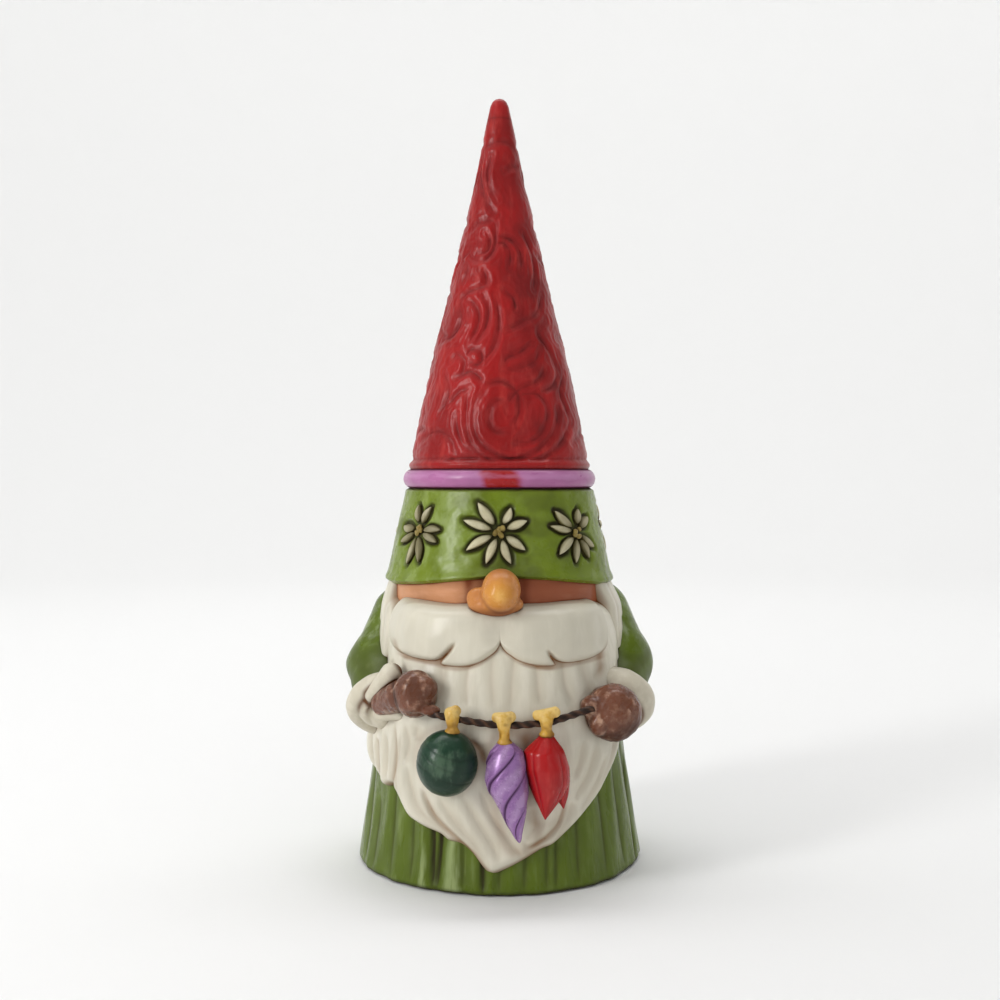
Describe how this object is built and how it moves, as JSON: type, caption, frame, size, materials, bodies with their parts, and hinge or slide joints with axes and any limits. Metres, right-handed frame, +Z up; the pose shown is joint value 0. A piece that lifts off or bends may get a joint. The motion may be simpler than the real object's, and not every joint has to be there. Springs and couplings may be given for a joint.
{
  "type": "tomte gnome figurine",
  "caption": "Standing gnome figurine with a tall carved hat over its eyes, round nose, long beard, mittens and a garland of small ornaments.",
  "frame": {"origin": "centre of the felt pad's underside, on the axis of the robe and hat", "axes": "+Z up along the hat's axis; -Y is the front, where the nose, beard and garland are; +X is to the right for someone facing the figure"},
  "size_m": [0.0542, 0.0566, 0.135],
  "materials": {
    "robe_green": "satin hand paint with a brown antique wash in the folds",
    "felt": "pressed wool felt",
    "skin": "satin hand paint",
    "nose_paint": "satin hand paint",
    "core_resin": "bare cast stone resin",
    "hat_red": "satin hand paint with a maroon wash in the carving",
    "band_lilac": "satin hand paint",
    "cuff_green": "satin hand paint with pale dry-brushed highlights",
    "daisy_cream": "satin hand paint",
    "beard_ivory": "satin hand paint with a tan wash between the strands",
    "fur_ivory": "satin hand paint",
    "mitten_brown": "satin hand paint with dry-brushed highlights",
    "cord_brown": "painted",
    "cap_gold": "satin gilt paint",
    "ball_green": "gloss hand paint",
    "icicle_lilac": "metallic hand paint",
    "bud_red": "gloss hand paint",
    "pin_steel": "plain wire"
  },
  "bodies": {
    "root": {"robe_body": "robe_green", "sleeve_left": "robe_green", "sleeve_right": "robe_green", "felt_pad": "felt", "face_strip": "skin", "nose": "nose_paint", "head_core": "core_resin", "hat_cone": "hat_red", "hat_band": "band_lilac", "hat_cuff": "cuff_green", "daisy_1": "daisy_cream", "daisy_2": "daisy_cream", "daisy_3": "daisy_cream", "daisy_4": "daisy_cream", "daisy_5": "daisy_cream", "daisy_6": "daisy_cream", "daisy_7": "daisy_cream", "beard": "beard_ivory", "moustache_left": "beard_ivory", "moustache_right": "beard_ivory", "hair_lock_left": "beard_ivory", "hair_lock_right": "beard_ivory", "fur_cuff_left": "fur_ivory", "fur_cuff_right": "fur_ivory", "mitten_left": "mitten_brown", "mitten_right": "mitten_brown", "garland_cord": "cord_brown", "ball_cap": "cap_gold", "icicle_cap": "cap_gold", "bud_cap": "cap_gold", "ball_ornament": "ball_green", "icicle_ornament": "icicle_lilac", "bud_ornament": "bud_red", "shoulder_pin_left": "pin_steel", "shoulder_pin_right": "pin_steel", "hand_pin_left": "pin_steel", "hand_pin_right": "pin_steel"}
  },
  "joints": []
}
